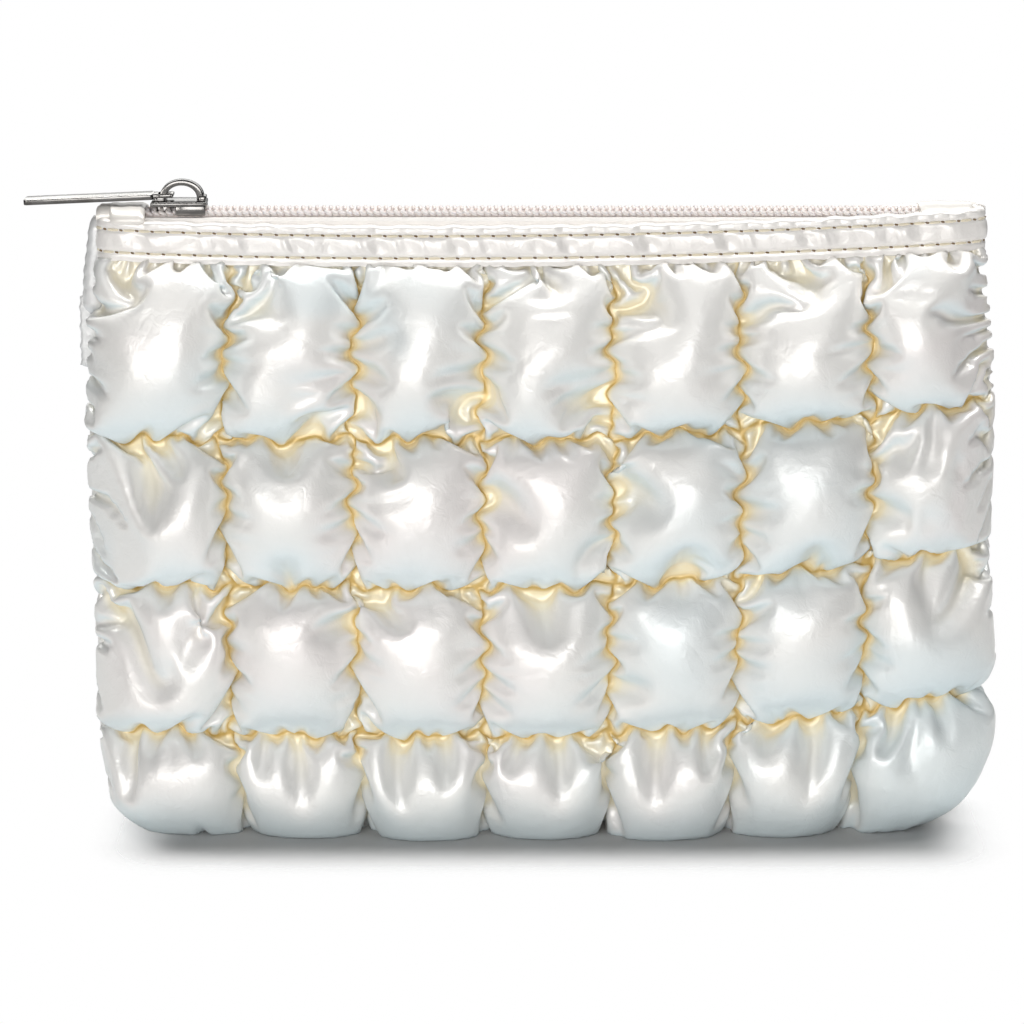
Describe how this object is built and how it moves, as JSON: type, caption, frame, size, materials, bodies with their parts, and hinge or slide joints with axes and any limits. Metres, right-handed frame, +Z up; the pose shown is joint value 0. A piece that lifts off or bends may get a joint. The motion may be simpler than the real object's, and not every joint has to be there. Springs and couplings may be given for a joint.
{
  "type": "puffer pouch",
  "caption": "Quilted padded zip pouch that stands upright, with a folded band at the mouth, a coil zipper and a swinging metal bar puller.",
  "frame": {"origin": "on the floor, under the middle of the whole pouch's box, puller included", "axes": "+X along the pouch towards the closed end of the zipper, away from the puller; +Y from the front to the back; +Z up"},
  "size_m": [0.213, 0.0466, 0.1446],
  "materials": {
    "pearl_cloth": "glossy pearl-coated nylon, white with a faint cool and warm sheen",
    "zipper_tape": "matt woven tape, pale blush white",
    "zipper_coil": "moulded coil, pale blush white",
    "dark_nickel": "polished dark nickel"
  },
  "bodies": {
    "pouch": {"front_panel": "pearl_cloth", "back_panel": "pearl_cloth", "front_band": "pearl_cloth", "back_band": "pearl_cloth", "left_end_tab": "pearl_cloth", "right_end_tab": "pearl_cloth", "side_tab": "pearl_cloth", "front_tape": "zipper_tape", "back_tape": "zipper_tape", "zipper_chain": "zipper_coil", "slider": "dark_nickel"},
    "puller": {"puller": "dark_nickel"}
  },
  "joints": [
    {"name": "puller_swing", "type": "hinge", "parent": "pouch", "child": "puller", "pos_m": [-0.07143, 0, 0.14084], "axis": [0, 1, 0], "range_deg": [0, 170]}
  ]
}
